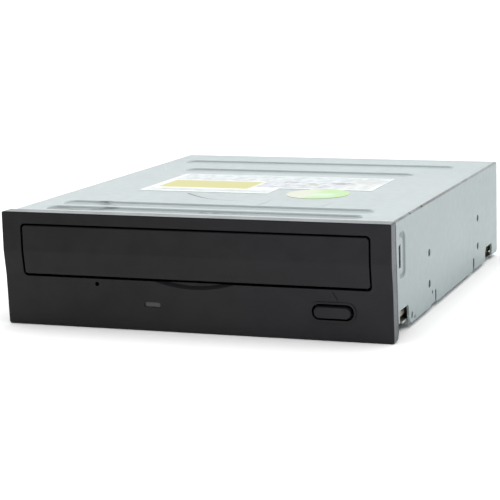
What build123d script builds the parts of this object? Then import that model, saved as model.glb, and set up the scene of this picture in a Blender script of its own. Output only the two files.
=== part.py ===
from build123d import *
import math
import os

# Half-height optical disc writer for a 5.25 inch bay.
# Millimetres. +X is right seen from the front, -Y is the front, +Z is up.
# The origin is the middle of the underside of the whole drive.

# ---------------------------------------------------------------- driving sizes
CHASSIS_W = 146.0          # width of the steel case
BEZEL_W = 148.0            # width of the front bezel
DEPTH = 170.0              # bezel face to rear wall
BEZEL_H = 42.0
BEZEL_D = 6.0              # bezel depth in front of the steel
CASE_Z0 = 0.6              # underside of the steel case
CASE_Z1 = 41.7             # top of the steel case
SHEET = 0.8                # steel sheet thickness
SIDE_Z0 = 1.7              # lower edge of the top cover's sides
BEND_R = 1.0               # outer bend radius of the top cover

SIDE_HOLE_Y = 47.4         # first side hole, behind the back of the bezel
HOLE_PITCH_Y = 79.25       # along the drive
HOLE_PITCH_Z = 11.84       # between the lower and upper side holes
SIDE_HOLE_Z = 10.0         # lower side hole above the case underside
BOTTOM_PITCH_X = 139.70    # bottom holes across the drive
M3_R = 1.5

DOOR_W, DOOR_H, DOOR_Z = 131.8, 18.05, 28.125
DOOR_GAP_SIDE, DOOR_GAP_TOP, DOOR_GAP_LOW = 0.7, 0.65, 0.9

TRAY_TRAVEL = 135.0
SPINDLE_Y = -15.0          # disc centre with the tray closed
DISC_R = 60.6              # recess for the 120 mm disc
SLED_TRAVEL = 35.0
LENS_Y0 = 8.0              # lens at the innermost track (23 mm radius)
TILT_RAD = 0.096           # traverse drop, front down
SLIDER_TRAVEL = 16.0
HINGE_Y, HINGE_Z = 62.0, 14.0
PIN_Z = 16.0               # traverse lifting pins, raised

GEAR_M = 1.0
N_DRIVE, N_PINION, N_RACKPIN = 30, 12, 16
DRIVE_C = (-47.0, -61.0)   # tray drive gear axis
RACK_PITCH_X = -55.0

YF = -DEPTH / 2            # front of the bezel
YB = YF + BEZEL_D          # back of the bezel, front of the case
YR = DEPTH / 2             # rear wall
HW = CHASSIS_W / 2
SIN, COS = math.sin, math.cos


# ---------------------------------------------------------------- helpers
def bx(x0, x1, y0, y1, z0, z1):
    return Pos((x0 + x1) / 2, (y0 + y1) / 2, (z0 + z1) / 2) * Box(abs(x1 - x0), abs(y1 - y0), abs(z1 - z0))


def cz(x, y, z0, z1, r):
    return Pos(x, y, (z0 + z1) / 2) * Cylinder(r, z1 - z0)


def cy(x, z, y0, y1, r):
    return Pos(x, (y0 + y1) / 2, z) * Rot(90, 0, 0) * Cylinder(r, y1 - y0)


def cx(y, z, x0, x1, r):
    return Pos((x0 + x1) / 2, y, z) * Rot(0, 90, 0) * Cylinder(r, x1 - x0)


def slab_x(sk, x0, x1):
    """A sketch drawn in (Y, Z), extruded along X."""
    return extrude(Plane(origin=(x0, 0, 0), x_dir=(0, 1, 0), z_dir=(1, 0, 0)) * sk, amount=x1 - x0)


def slab_y(sk, y0, y1, taper=0.0):
    """A sketch drawn in (X, Z), extruded along Y."""
    return extrude(Plane(origin=(0, y1, 0), x_dir=(1, 0, 0), z_dir=(0, -1, 0)) * sk, amount=y1 - y0, taper=taper)


def slab_z(sk, z0, z1):
    return extrude(Plane(origin=(0, 0, z0)) * sk, amount=z1 - z0)


def poly(*pts):
    area = sum(p[0] * q[1] - q[0] * p[1] for p, q in zip(pts, pts[1:] + pts[:1]))
    return Polygon(*(pts if area > 0 else pts[::-1]), align=None)


def rr(a, b, w, h, r):
    return Pos(a, b) * RectangleRounded(w, h, r)


def join(items):
    return items[0] + items[1:] if len(items) > 1 else items[0]


def both(obj):
    """The object and its mirror image in the middle plane."""
    return [obj, mirror(obj, about=Plane.YZ)]


def try_fillet(obj, pick, r):
    edges = [e for e in obj.edges() if pick(e)]
    if not edges:
        return obj
    for rad in (r, r * 0.6):
        try:
            out = fillet(edges, rad)
            if out.is_valid and out.volume > 0.8 * obj.volume:
                return out
        except Exception:
            pass
    return obj


def group(items):
    return Compound(children=[s for it in items for s in it.solids()])


parts = {}


# ---------------------------------------------------------------- front profile
# In (Y, Z): upright at the top, a gentle step back across the door, then a
# slow lean back to the lower edge.
def front_profile(back):
    sk = poly((YF, BEZEL_H), (YF, 27.5), (YF + 1.2, 18.5), (YF + 2.0, 0.0), (back, 0.0), (back, BEZEL_H))
    vs = [v for v in sk.vertices() if (abs(v.Z) < 1e-6 and (abs(v.X - YF) < 1e-6 and abs(v.Y - 27.5) < 1e-6
                                                          or abs(v.X - YF - 1.2) < 1e-6))]
    try:
        return fillet(vs, 9.0)
    except Exception:
        return sk


def y_front(z):
    if z >= 27.5:
        return YF
    if z >= 18.5:
        return YF + 1.2 * (27.5 - z) / 9.0
    return YF + 1.2 + 0.8 * (18.5 - z) / 18.5


# ---------------------------------------------------------------- bezel
BTN_X, BTN_Z = 52.2, 10.25
LED_X, LED_Z = -15.95, 9.6
open_w = DOOR_W + 2 * DOOR_GAP_SIDE
open_z0 = DOOR_Z - DOOR_H / 2 - DOOR_GAP_LOW
open_z1 = DOOR_Z + DOOR_H / 2 + DOOR_GAP_TOP
open_c, open_h = (open_z0 + open_z1) / 2, open_z1 - open_z0

bezel = slab_x(front_profile(YB), -BEZEL_W / 2, BEZEL_W / 2) & slab_y(rr(0, BEZEL_H / 2, BEZEL_W, BEZEL_H, 0.7), YF - 1, YB)
bezel = try_fillet(bezel, lambda e: e.center().Y < YF + 2.4 and (
    e.center().Z > BEZEL_H - 0.05 or e.center().Z < 0.05 or abs(e.center().X) > BEZEL_W / 2 - 1.3), 0.32)
hollow = bx(-72.2, 72.2, -81.2, YB + 1, 1.8, 40.2) - slab_y(rr(0, open_c, open_w + 2.6, open_h + 2.6, 2.9), -82, YB - 0.4)
bezel -= hollow
bezel -= slab_y(rr(0, open_c, open_w, open_h, 1.7), YF - 2, YB + 2)
# crescent finger scoop under the door
scoop_r = 47.2
scoop = slab_y(Pos(0.65, 15.7 + scoop_r) * Circle(scoop_r - 1.4), YF - 2, -82.9, -58) & bx(-30, 30, YF - 2, YB, 5, open_z0 + 0.2)
bezel -= scoop
# eject button opening and its raised rim
bezel -= slab_y(rr(BTN_X, BTN_Z, 15.4, 5.7, 2.7), YF - 2, YB)
rim = slab_y(rr(BTN_X, BTN_Z, 16.8, 7.1, 3.4) - rr(BTN_X, BTN_Z, 15.4, 5.7, 2.7), -83.9, -82.5)
# raised triangle over the button
tri = slab_y(poly((BTN_X - 1.75, 14.5), (BTN_X + 1.75, 14.5), (BTN_X, 17.6)), -84.0, -83.2)
bezel = bezel + [rim, tri]
# indicator window and emergency pin hole
bezel -= slab_y(rr(LED_X, LED_Z, 6.3, 1.8, 0.85), YF - 2, YB)
bezel -= cy(-37.3, 16.3, YF - 2, YB, 0.8)
# snap hooks that catch the slots of the steel sides
hook = bx(70.95, 72.1, -81.3, -70.2, 24.9, 32.1) + slab_z(poly((72.0, -72.6), (72.2, -72.6), (72.9, -70.8), (72.9, -70.7), (72.0, -70.6)), 24.9, 32.1)
bezel = bezel + both(hook)
# thin skirt that reaches back over the steel sides, deeper towards the bottom
skirt = slab_x(poly((YB - 1.0, 34.0), (YB, 34.0), (YB + 1.5, 7.0), (YB + 1.7, 3.6), (YB + 0.9, 0.8), (YB, 0.4), (YB - 1.0, 0.4)), 73.05, BEZEL_W / 2)
bezel = bezel + both(skirt)
parts["bezel"] = bezel

# ---------------------------------------------------------------- tray door
door = slab_x(front_profile(-80.4), -70, 70) & slab_y(rr(0, DOOR_Z, DOOR_W, DOOR_H, 1.2), YF - 1, -80.4)
door = try_fillet(door, lambda e: e.center().Y < YF + 1.6 and (
    e.center().Z > DOOR_Z + DOOR_H / 2 - 1.4 or e.center().Z < DOOR_Z - DOOR_H / 2 + 1.4 or abs(e.center().X) > DOOR_W / 2 - 1.4), 0.35)
door -= slab_y(rr(0, DOOR_Z, DOOR_W - 4.4, DOOR_H - 4.4, 1.2), -82.2, -80.0)
door = door + [bx(x - 0.6, x + 0.6, -82.4, -80.4, DOOR_Z - 7.6, DOOR_Z + 7.6) for x in (-44, -15, 15, 44)]
parts["tray_door"] = door

# ---------------------------------------------------------------- eject button and switch
BTN_TRAVEL = 0.5
cap = Pos(0, 0, 0) * loft([Plane(origin=(BTN_X, -81.0, BTN_Z), x_dir=(1, 0, 0), z_dir=(0, -1, 0)) * RectangleRounded(14.6, 4.95, 2.3),
                           Plane(origin=(BTN_X, -84.85, BTN_Z), x_dir=(1, 0, 0), z_dir=(0, -1, 0)) * RectangleRounded(13.3, 4.05, 1.9)])
cap = try_fillet(cap, lambda e: e.center().Y < -84.8, 0.4)
parts["eject_button"] = cap + [slab_y(rr(BTN_X, BTN_Z, 17.2, 7.2, 2.2), -81.0, -80.1), cy(BTN_X, BTN_Z, -80.2, -77.3, 1.6)]
parts["eject_switch_plunger"] = cy(BTN_X, BTN_Z, -77.3, -74.2, 1.1)

FB_Z0, FB_Z1 = 5.2, 6.8    # front circuit board
switch = bx(49.0, 55.4, -75.5, -71.6, FB_Z1, 12.9) - cy(BTN_X, BTN_Z, -76, -73.6, 1.18)
parts["eject_switch"] = switch
front_board = join([bx(-26, 64, -75.8, -71.3, FB_Z0, FB_Z1), bx(36, 70.6, -73.2, -60.5, FB_Z0, FB_Z1),
                    bx(66.0, 70.6, -61.0, -58.4, FB_Z0, FB_Z1)])
parts["front_board"] = front_board
parts["status_led"] = join([cy(LED_X, LED_Z, -77.6, -73.8, 1.5), cy(LED_X, LED_Z, -74.6, -73.8, 1.59),
                            bx(LED_X - 1.2, LED_X - 0.7, -74.5, -74.0, FB_Z1, LED_Z),
                            bx(LED_X + 0.7, LED_X + 1.2, -74.5, -74.0, FB_Z1, LED_Z)])
parts["led_light_pipe"] = join([slab_y(rr(LED_X, LED_Z, 6.2, 1.7, 0.8), -82.9, -80.6),
                                slab_y(rr(LED_X, LED_Z, 8.2, 3.6, 0.9), -81.2, -80.2),
                                cy(LED_X, LED_Z, -80.3, -77.6, 1.6)])
front_socket = bx(50.0, 57.0, -65.6, -61.6, FB_Z1, 9.0) - bx(50.6, 56.4, -64.0, -61.0, 7.4, 8.2)


# ---------------------------------------------------------------- top cover
def yz(d, z):
    """Side features are placed by depth behind the bezel face and height."""
    return (YF + d, z)


outer = slab_y(rr(0, (CASE_Z1 - 8) / 2, CHASSIS_W, CASE_Z1 + 8, BEND_R), YB, YR) & slab_x(
    rr((YB - 9 + YR) / 2, (CASE_Z1 - 8) / 2, YR - YB + 9, CASE_Z1 + 8, BEND_R), -HW, HW) & bx(-80, 80, YB, YR, SIDE_Z0, 50)
inner = slab_y(rr(0, (CASE_Z1 - SHEET - 8) / 2, CHASSIS_W - 2 * SHEET, CASE_Z1 - SHEET + 8, BEND_R - SHEET), YB - 5, YR - SHEET) & slab_x(
    rr((YB - 9 + YR - SHEET) / 2, (CASE_Z1 - SHEET - 8) / 2, YR - SHEET - YB + 9, CASE_Z1 - SHEET + 8, BEND_R - SHEET), -HW, HW)
cover = outer - inner

# pressed beads across the top: (x0, x1, front depth, rear depth)
BEADS = [(-63.5, 60.0, 9.8, 18.6), (-63.0, 60.5, 21.6, 31.4), (-54.0, 49.0, 115.5, 125.3), (-65.0, 60.0, 140.6, 151.0)]
BEAD_D = 0.5


def bead(x0, x1, d0, d1, z, grow, depth):
    w = d1 - d0 + 2 * grow
    l = x1 - x0 + 2 * grow
    sk = Pos((x0 + x1) / 2, YF + (d0 + d1) / 2) * RectangleRounded(l, w, w * 0.48)
    return extrude(Plane(origin=(0, 0, z), x_dir=(1, 0, 0), z_dir=(0, 0, 1)) * sk, amount=-depth, taper=52)


for b in BEADS:
    cover = cover + bead(*b, CASE_Z1 - SHEET + 0.02, 0.25, BEAD_D + 0.02)
for b in BEADS:
    cover = cover - bead(*b, CASE_Z1 + 0.001, 0.0, BEAD_D)

side_cuts, side_adds = [], []
# hook slot near the front
side_cuts.append(slab_x(poly(yz(12.3, 24.4), yz(14.6, 24.4), yz(14.6, 32.7), yz(12.3, 32.2)), 71, 75))
# stamped C-shaped groove behind it, with sloping walls; its ends fade out forwards
def c_band(grow):
    return ((Pos(YF + 12.0, 28.4) * RectangleRounded(18.4 + 2 * grow, 17.0 + 2 * grow, 3.2 + grow))
            - (Pos(YF + 9.6, 28.4) * RectangleRounded(15.2 - 2 * grow, 12.4 - 2 * grow, 1.6))) & (Pos(YF + 20, 28.4) * Rectangle(14.6 + 2 * grow, 30))


def c_solid(x_face, grow, depth):
    sk = Plane(origin=(x_face, 0, 0), x_dir=(0, 1, 0), z_dir=(1, 0, 0)) * c_band(grow)
    try:
        return extrude(sk, amount=-depth, taper=58)
    except Exception:
        return extrude(sk, amount=-depth)


side_adds.append(c_solid(HW - SHEET + 0.01, 0.35, 0.45))
side_cuts.append(c_solid(HW + 0.001, 0.0, 0.45))
# lower front corner: a short strip behind the bezel, then an open notch
notch = poly(yz(0, -3), yz(0, 4.8), yz(12.7, 4.8), yz(12.7, 8.2), yz(13.7, 9.2), yz(23.4, 9.2), yz(24.3, 8.2),
             yz(24.8, 5.0), yz(25.8, 3.0), yz(27.6, 1.7), yz(27.6, -3))
side_cuts.append(slab_x(notch, 70, 75))
# small round hole, dimples
side_cuts.append(cx(YF + 28.6, 4.4, 70, 75, 1.2))
for d, z in ((32.4, 2.9), (57.6, 6.6)):
    side_cuts.append(cx(YF + d, z, HW - 0.35, HW + 1, 0.75))
# slots from the lower edge, shallow step of the lower edge
side_cuts.append(slab_x(poly(yz(61.2, -1), yz(63.2, -1), yz(63.2, 6.3), yz(62.7, 6.9), yz(61.7, 6.9), yz(61.2, 6.3)), 72.15, 75))
side_cuts.append(slab_x(poly(yz(123.6, -1), yz(126.2, -1), yz(126.2, 6.2), yz(125.7, 6.8), yz(124.1, 6.8), yz(123.6, 6.2)), 72.15, 75))
side_cuts.append(slab_x(poly(yz(54.6, -1), yz(64.4, -1), yz(63.8, 2.3), yz(55.2, 2.3)), 72.15, 75))
side_cuts.append(slab_x(poly(yz(146.5, -1), yz(159.4, -1), yz(159.4, 6.2), yz(158.4, 7.2), yz(148.0, 7.2), yz(146.5, 5.6)), 72.15, 75))
side_cuts.append(slab_x(poly(yz(167.5, -1), yz(171, -1), yz(171, 4.6)), 70, 75))
# screw holes
HOLE_YS = (YB + SIDE_HOLE_Y, YB + SIDE_HOLE_Y + HOLE_PITCH_Y)
HOLE_ZS = (CASE_Z0 + SIDE_HOLE_Z, CASE_Z0 + SIDE_HOLE_Z + HOLE_PITCH_Z)
screw_cuts = [cx(y, z, 70.9, 75, M3_R) for y in HOLE_YS for z in HOLE_ZS]
side_cuts += screw_cuts
side_cuts.append(bx(71.8, 72.2, 83.9, 86, -1, 40.0))
adds = [p for s in side_adds for p in both(s)]
cuts = [p for s in side_cuts for p in both(s)]
cover = cover + adds
cover = cover - cuts

# rear openings for the connectors
DATA = (-25.0, 33.0, 75.5, 5.0, 14.2)
POWER = (-60.5, -38.5, 74.5, 5.0, 15.4)
AUDIO = (50.0, 61.0, 76.5, 5.0, 11.0)
JUMP = (38.5, 46.2, 77.5, 5.0, 7.6)
for c in (DATA, POWER, AUDIO):
    cover -= bx(c[0] - 0.3, c[1] + 0.3, 84, 86, c[3] - 0.3, c[4] + 0.3)
cover -= bx(JUMP[0] - 0.3, JUMP[1] + 0.3, 84, 86, JUMP[3] - 0.3, 11.3)
# two pierced dimples in each long bend
for d in (28.0, 44.0):
    for s in (-1, 1):
        cover -= Pos(s * 72.75, YF + d, 41.45) * Sphere(0.65)
parts["top_cover"] = cover

# ---------------------------------------------------------------- bottom cover
BC_X = HW - SHEET - 0.1
bc = bx(-BC_X, BC_X, YF + 28, YR - 0.9, CASE_Z0, 26.0)
bc = try_fillet(bc, lambda e: e.center().Z < CASE_Z0 + 0.01 and abs(e.center().X) > BC_X - 0.1, 1.5)
bc -= bx(-BC_X + SHEET, BC_X - SHEET, YF + 20, YR, CASE_Z0 + SHEET, 30)
bc_adds, bc_cuts = [], []
# tongue that reaches forward under the front board, seen through the side notch
tongue = bx(66.5, 71.6, YF + 20.6, YF + 28.8, 2.8, 3.6) + bx(66.5, 71.6, YF + 28.0, YF + 28.8, CASE_Z0, 3.6)
bc_adds += both(tongue)
# pressed beads, inwards
for d in (104.0, 134.0):
    sk = Pos(0, YF + d) * RectangleRounded(92, 9, 4.3)
    bc_adds.append(extrude(Plane(origin=(0, 0, CASE_Z0 + SHEET - 0.02)) * (Pos(0, YF + d) * RectangleRounded(92.5, 9.5, 4.5)), amount=BEAD_D + 0.02, taper=50))
    bc_cuts.append(extrude(Plane(origin=(0, 0, CASE_Z0 - 0.001)) * sk, amount=BEAD_D, taper=50))
for s in (cx(y, z, 70.0, 75, M3_R) for y in HOLE_YS for z in HOLE_ZS):
    bc_cuts += both(s)
BOT_HOLES = [(sx * BOTTOM_PITCH_X / 2, y) for sx in (-1, 1) for y in HOLE_YS]
bc_cuts += [cz(x, y, -1, 2.0, M3_R) for x, y in BOT_HOLES]
bc_cuts += both(slab_x(poly(yz(144.0, 1.6), yz(165.0, 1.6), yz(165.0, 8.4), yz(144.0, 8.4)), 71, 73))
COVER_SCREWS = [(-62.0, YF + 34), (62.0, YF + 34), (-62.0, 72.0), (62.0, 72.0)]
for d0, d1 in ((60.6, 68.0), (123.0, 130.6)):
    bc_cuts += both(slab_x(poly(yz(d0, 1.5), yz(d1, 1.5), yz(d1, 7.2), yz(d0, 7.2)), 71, 73))
bc_cuts += [cz(x, y, -1, 3, 2.7) for x, y in COVER_SCREWS]
bc_cuts += [cz(20, -38, -1, 3, 2.0), cz(-34, -20, -1, 3, 2.5), cz(38, 2, -1, 3, 1.6)]
bc = bc + bc_adds
bc = bc - bc_cuts
parts["bottom_cover"] = bc


def cross(x, y, z0, z1, w=2.6):
    return bx(x - w / 2, x + w / 2, y - 0.3, y + 0.3, z0, z1) + bx(x - 0.3, x + 0.3, y - w / 2, y + w / 2, z0, z1)


parts["cover_screws"] = group([(cz(x, y, CASE_Z0 + 0.05, 1.4, 2.6) + cz(x, y, 1.3, 9.0, 1.25)) - cross(x, y, 0, 1.2) for x, y in COVER_SCREWS])

# ---------------------------------------------------------------- loader frame
MOTOR_C = (4.0, -58.0)
PIN_C = (DRIVE_C[0] + math.sqrt(21.0 ** 2 - 9.0), DRIVE_C[1] + 3.0)   # pulley gear axis, 21 mm from the drive gear
DECK_Z = 15.6
lf = []
lf += both(bx(68.8, 70.8, -77.5, 80, 1.6, 34.0))
lf.append(bx(-70.8, 70.8, -77.5, -76.0, 1.6, 17.4))
lf.append(bx(-68.9, 68.9, -76.1, -46.0, 14.0, DECK_Z))
lf.append(bx(-64.0, 64.0, -76.1, -58.0, 1.6, 3.0))
lf.append(bx(-68.9, 68.9, -46.0, -44.4, 1.6, DECK_Z))
lf.append(bx(-64.0, -62.6, -76.1, -44.4, 1.6, DECK_Z))
lf += both(bx(63.0, 68.9, -76.0, 76.0, 23.4, 25.3))
for y0, y1 in ((-76, -66), (-38, -30), (20, 28), (58, 66)):
    lf += both(bx(62.6, 68.9, y0, y1, 31.4, 32.8))
for y in (-24.0, -6.0):
    lf += both(bx(65.2, 68.9, y - 3, y + 3, 25.2, 34.0))
lf += both(bx(48.6, 68.9, 54, 70.5, 9.6, 11.4))
lf += both(bx(48.6, 56.5, 57, 67, 9.6, 18.0))
lf.append(bx(-68.9, 68.9, 70.0, 74.0, 9.6, 13.0))
# guide of the cam slider
lf.append(bx(-52.0, 49.4, -44.5, -40.8, 1.6, 2.5))
lf.append(bx(-52.0, 49.4, -41.9, -40.8, 1.6, 3.8))
for x in (-32.0, 30.0):
    lf += [bx(x - 2, x + 2, -46.0, -44.4, DECK_Z - 0.2, 20.6), bx(x - 2, x + 2, -46.0, -40.8, 19.4, 20.6), bx(x - 2, x + 2, -41.9, -40.8, 16.8, 20.6)]
# gear posts
lf += [cz(DRIVE_C[0], DRIVE_C[1], DECK_Z - 0.2, 25.2, 1.8), cz(DRIVE_C[0], DRIVE_C[1], DECK_Z - 0.2, 19.4, 3.4)]
lf += [cz(PIN_C[0], PIN_C[1], DECK_Z - 0.2, 23.0, 1.5)]
# screw bosses and board supports
lf += [cz(x, YF + 34, 1.4, 14.5, 3.4) for x in (-62.0, 62.0)]
lf += [cz(x, 72.0, 1.4, 10.0, 2.7) for x in (-62.0, 62.0)]
lf += [cz(x, 60.0, 5.0, 10.0, 3.0) for x in (-64.0, 64.0)]
lf += [bx(x - 1.5, x + 1.5, -75.5, -72.0, 2.8, FB_Z0) for x in (-22.0, 18.0, 44.0)]
lf += [bx(60.5, 63.5, -64.5, -61.5, 2.8, FB_Z0)]
loader = join(lf)
lc = []
lc += both(bx(64.1, 72.0, -78.0, -56.0, 0, 5.2))
lc += both(bx(64.1, 72.0, -73.8, -58.2, 0, 10.4))
lc += both(bx(68.3, 72.0, 52.0, 81.0, 0, 8.6))
for y in HOLE_YS:
    for z in HOLE_ZS:
        lc += both(cx(y, z, 66, 72, 2.6))
    lc += both(cz(BOTTOM_PITCH_X / 2, y, 0, 8.2, 2.6))
lc += both(cx(HINGE_Y, HINGE_Z, 48, 57, 2.08))
lc += [cz(x, y, 0, 9.2, 1.25) for x, y in COVER_SCREWS]
lc += [cz(x, 60.0, 4, 9.2, 1.25) for x in (-64.0, 64.0)]
lc += [cz(sx * 67.0, y, 30.0, 35, 1.0) for sx in (-1, 1) for y in (-24.0, -6.0)]
lc += [cy(LED_X, LED_Z, -78, -75.5, 2.4), bx(43.5, 61.0, -78, -75.6, 6.0, 14.5), cy(-37.3, 16.6, -78, -75, 1.2)]
lc += [cz(MOTOR_C[0], MOTOR_C[1], 13, 16, 3.2)]
lc += [cz(MOTOR_C[0] + s * 8.5, MOTOR_C[1], 13, 16, 0.8) for s in (-1, 1)]
lc += [cz(MOTOR_C[0], MOTOR_C[1], 0, 13.99, 12.6) & bx(-20, 30, -68.4, -40, 0, 13.99)]
lc += [bx(49.6, 57.4, -47, -44, 1.0, 2.9)]
lc += [bx(20, 60, -74, -50, 13.5, 16.5) & slab_z(rr(42, -60, 30, 18, 3), 13.5, 16.5)]
loader -= lc
parts["loader_frame"] = loader

# ---------------------------------------------------------------- disc tray
tray = [bx(-64.5, 64.5, -78.9, 73.0, 25.6, 31.0), bx(-64.0, 64.0, -80.4, -78.8, 19.4, 31.0)]
tray = join(tray)
tcut = [cz(0, SPINDLE_Y, 28.0, 35, DISC_R), cz(0, SPINDLE_Y, 27.2, 35, 41.0)]
tcut += [bx(-21, 21, SPINDLE_Y, 80, 20, 40), cz(0, SPINDLE_Y, 20, 40, 21.0)]
for a in (45, 135, 225, 315):
    tcut.append(cz(DISC_R * COS(math.radians(a)), SPINDLE_Y + DISC_R * SIN(math.radians(a)), 28.0, 35, 8.0))
under = bx(-53, 62.9, -76.4, 71.4, 25.0, 29.6) - [cz(0, SPINDLE_Y, 24, 30, DISC_R + 1.8),
                                                  bx(-22.6, 22.6, SPINDLE_Y, 72, 24, 30)]
for a in (45, 315, 225):
    under = under - cz(DISC_R * COS(math.radians(a)), SPINDLE_Y + DISC_R * SIN(math.radians(a)), 24, 30, 9.6)
tcut.append(under)
tray -= tcut
# rack under the left edge, teeth towards the middle
BACK = 0.10                # each gear's teeth are thinned by this much
ADD, DED = 0.8, 1.05
p = math.pi * GEAR_M
n_rack = 45
t20 = math.tan(math.radians(20))
rack_pts = []
y_first = DRIVE_C[1] - 3 * p + p / 2      # first tooth centre; a gap is at the gear axis
half_p = p / 4 - BACK / 2
for k in range(n_rack):
    yc = y_first + k * p
    rx, tx = RACK_PITCH_X - DED, RACK_PITCH_X + ADD
    rack_pts += [(rx, yc - half_p - DED * t20), (tx, yc - half_p + ADD * t20), (tx, yc + half_p - ADD * t20), (rx, yc + half_p + DED * t20)]
rack_pts += [(RACK_PITCH_X - DED, y_first + n_rack * p), (-60.0, y_first + n_rack * p), (-60.0, y_first - p), (RACK_PITCH_X - DED, y_first - p)]
tray = tray + slab_z(poly(*rack_pts), 22.7, 25.7)
parts["disc_tray"] = tray


# ---------------------------------------------------------------- gears
def gear_sketch(n, phase):
    rp = GEAR_M * n / 2
    rb = rp * COS(math.radians(20))
    ra, rf = rp + ADD * GEAR_M, rp - DED * GEAR_M

    def inv(r):
        a = math.acos(min(1.0, rb / r))
        return math.tan(a) - a

    half = (math.pi * GEAR_M / 2 - BACK) / 2 / rp + inv(rp)
    r0 = max(rb, rf)
    rs = [r0 + (ra - r0) * i / 4 for i in range(5)]
    pts = []
    for k in range(n):
        c = phase + 2 * math.pi * k / n
        left = [(r, c - (half - inv(r))) for r in rs]
        right = [(r, c + (half - inv(r))) for r in reversed(rs)]
        seq = ([(rf, c - half)] if rf < r0 - 1e-6 else []) + left + right + ([(rf, c + half)] if rf < r0 - 1e-6 else [])
        pts += [(r * COS(a), r * SIN(a)) for r, a in seq]
    return poly(*pts)


phi = math.atan2(PIN_C[1] - DRIVE_C[1], PIN_C[0] - DRIVE_C[0])
at_drive = Pos(DRIVE_C[0], DRIVE_C[1], 0)
big = extrude(Plane(origin=(0, 0, 19.8)) * gear_sketch(N_DRIVE, phi), amount=2.4)
big -= [cz(0, 0, 21.4, 23, 13.0) - cz(0, 0, 21, 23, 9.4)]
small = extrude(Plane(origin=(0, 0, 22.1)) * gear_sketch(N_RACKPIN, math.pi), amount=3.2)
drive_gear = at_drive * (join([big, small, cz(0, 0, 19.5, 25.3, 3.6)]) - cz(0, 0, 19, 26, 1.88))
parts["tray_drive_gear"] = drive_gear

PULLEY_R, BELT_IN = 11.5, 10.5
at_pin = Pos(PIN_C[0], PIN_C[1], 0)
pin_teeth = extrude(Plane(origin=(0, 0, 19.0)) * gear_sketch(N_PINION, phi + math.pi + math.pi / N_PINION), amount=3.6)
wheel = cz(0, 0, 16.2, 19.2, PULLEY_R) - (cz(0, 0, 17.0, 18.4, 13) - cz(0, 0, 16.9, 18.5, BELT_IN - 0.15))
parts["pulley_gear"] = at_pin * (join([wheel, pin_teeth, cz(0, 0, 15.8, 22.8, 3.0)]) - cz(0, 0, 15, 24, 1.58))

MP_R, MBELT_IN = 3.8, 2.7
mp = cz(0, 0, 16.2, 19.2, MP_R) - (cz(0, 0, 17.0, 18.4, 6) - cz(0, 0, 16.9, 18.5, MBELT_IN - 0.15)) - cz(0, 0, 15, 20, 1.0)
parts["motor_pulley"] = Pos(MOTOR_C[0], MOTOR_C[1], 0) * mp
parts["motor_shaft"] = cz(MOTOR_C[0], MOTOR_C[1], 9.5, 19.6, 1.0)
motor = cz(MOTOR_C[0], MOTOR_C[1], 3.2, 14.0, 12.0) & bx(-20, 30, MOTOR_C[1] - 9.8, MOTOR_C[1] + 9.8, 3, 15)
motor = motor + cz(MOTOR_C[0], MOTOR_C[1], 13.9, 15.3, 3.0)
motor -= cz(MOTOR_C[0], MOTOR_C[1], 9.0, 16, 1.06)
motor -= [cz(MOTOR_C[0] + s * 8.5, MOTOR_C[1], 12.0, 15, 0.8) for s in (-1, 1)]
parts["loading_motor"] = motor
parts["motor_screws"] = group([(cz(MOTOR_C[0] + s * 8.5, MOTOR_C[1], 12.2, 15.7, 0.8) + cz(MOTOR_C[0] + s * 8.5, MOTOR_C[1], DECK_Z, 16.6, 1.7))
                               - bx(MOTOR_C[0] + s * 8.5 - 1.2, MOTOR_C[0] + s * 8.5 + 1.2, MOTOR_C[1] - 0.25, MOTOR_C[1] + 0.25, 16.2, 17) for s in (-1, 1)])


def belt_outline(c1, r1, c2, r2):
    dx, dy = c2[0] - c1[0], c2[1] - c1[1]
    d = math.hypot(dx, dy)
    base = math.atan2(dy, dx)
    a = math.acos((r1 - r2) / d)
    pts = [(c1[0] + r1 * COS(base + a), c1[1] + r1 * SIN(base + a)), (c2[0] + r2 * COS(base + a), c2[1] + r2 * SIN(base + a)),
           (c2[0] + r2 * COS(base - a), c2[1] + r2 * SIN(base - a)), (c1[0] + r1 * COS(base - a), c1[1] + r1 * SIN(base - a))]
    return poly(*pts) + Pos(*c1) * Circle(r1) + Pos(*c2) * Circle(r2)


belt = slab_z(belt_outline(PIN_C, BELT_IN + 1.2, MOTOR_C, MBELT_IN + 1.2), 17.1, 18.3) - slab_z(
    belt_outline(PIN_C, BELT_IN, MOTOR_C, MBELT_IN), 17.0, 18.5)
parts["drive_belt"] = belt

# ---------------------------------------------------------------- cam slider
drop = 10.09
slot_len = math.hypot(SLIDER_TRAVEL, drop)
ang = math.degrees(math.atan2(drop, SLIDER_TRAVEL))
slider = bx(-52, 34, -44.0, -42.4, 2.9, 19.0)
for px in (-16.0, 16.0):
    sk = Pos(px - SLIDER_TRAVEL / 2, PIN_Z - drop / 2) * Rot(0, 0, ang) * SlotCenterToCenter(slot_len, 3.7)
    slider -= slab_y(sk, -45, -42)
slider -= [bx(-49.5, -36.5, -45, -42, 6.0, 15.5), bx(20.5, 30.5, -45, -42, 6.0, 15.0)]
parts["cam_slider"] = slider

# ---------------------------------------------------------------- traverse
tf = bx(-48, 48, -40.2, 66, 12, 15) - bx(-40, 40, -33, 57, 11, 16)
tf = tf + [bx(-48, 48, -40.2, -36.5, 12, 18), bx(-48, 48, 58, 66, 12, 16)]
tf = tf + [cy(px, PIN_Z, -44.2, -40.0, 1.5) for px in (-16.0, 16.0)]
tf = tf + both(cx(HINGE_Y, HINGE_Z, 47.5, 55.5, 2.0))
DAMP = [(-44.0, -28.0), (44.0, -28.0), (-44.0, 50.0), (44.0, 50.0)]
tf = tf - [cz(x, y, 11, 16, 1.5) for x, y in DAMP]
tf = tf - both(bx(40.5, 46.5, -20, 42, 13.4, 16))
parts["traverse_frame"] = tf

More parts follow.
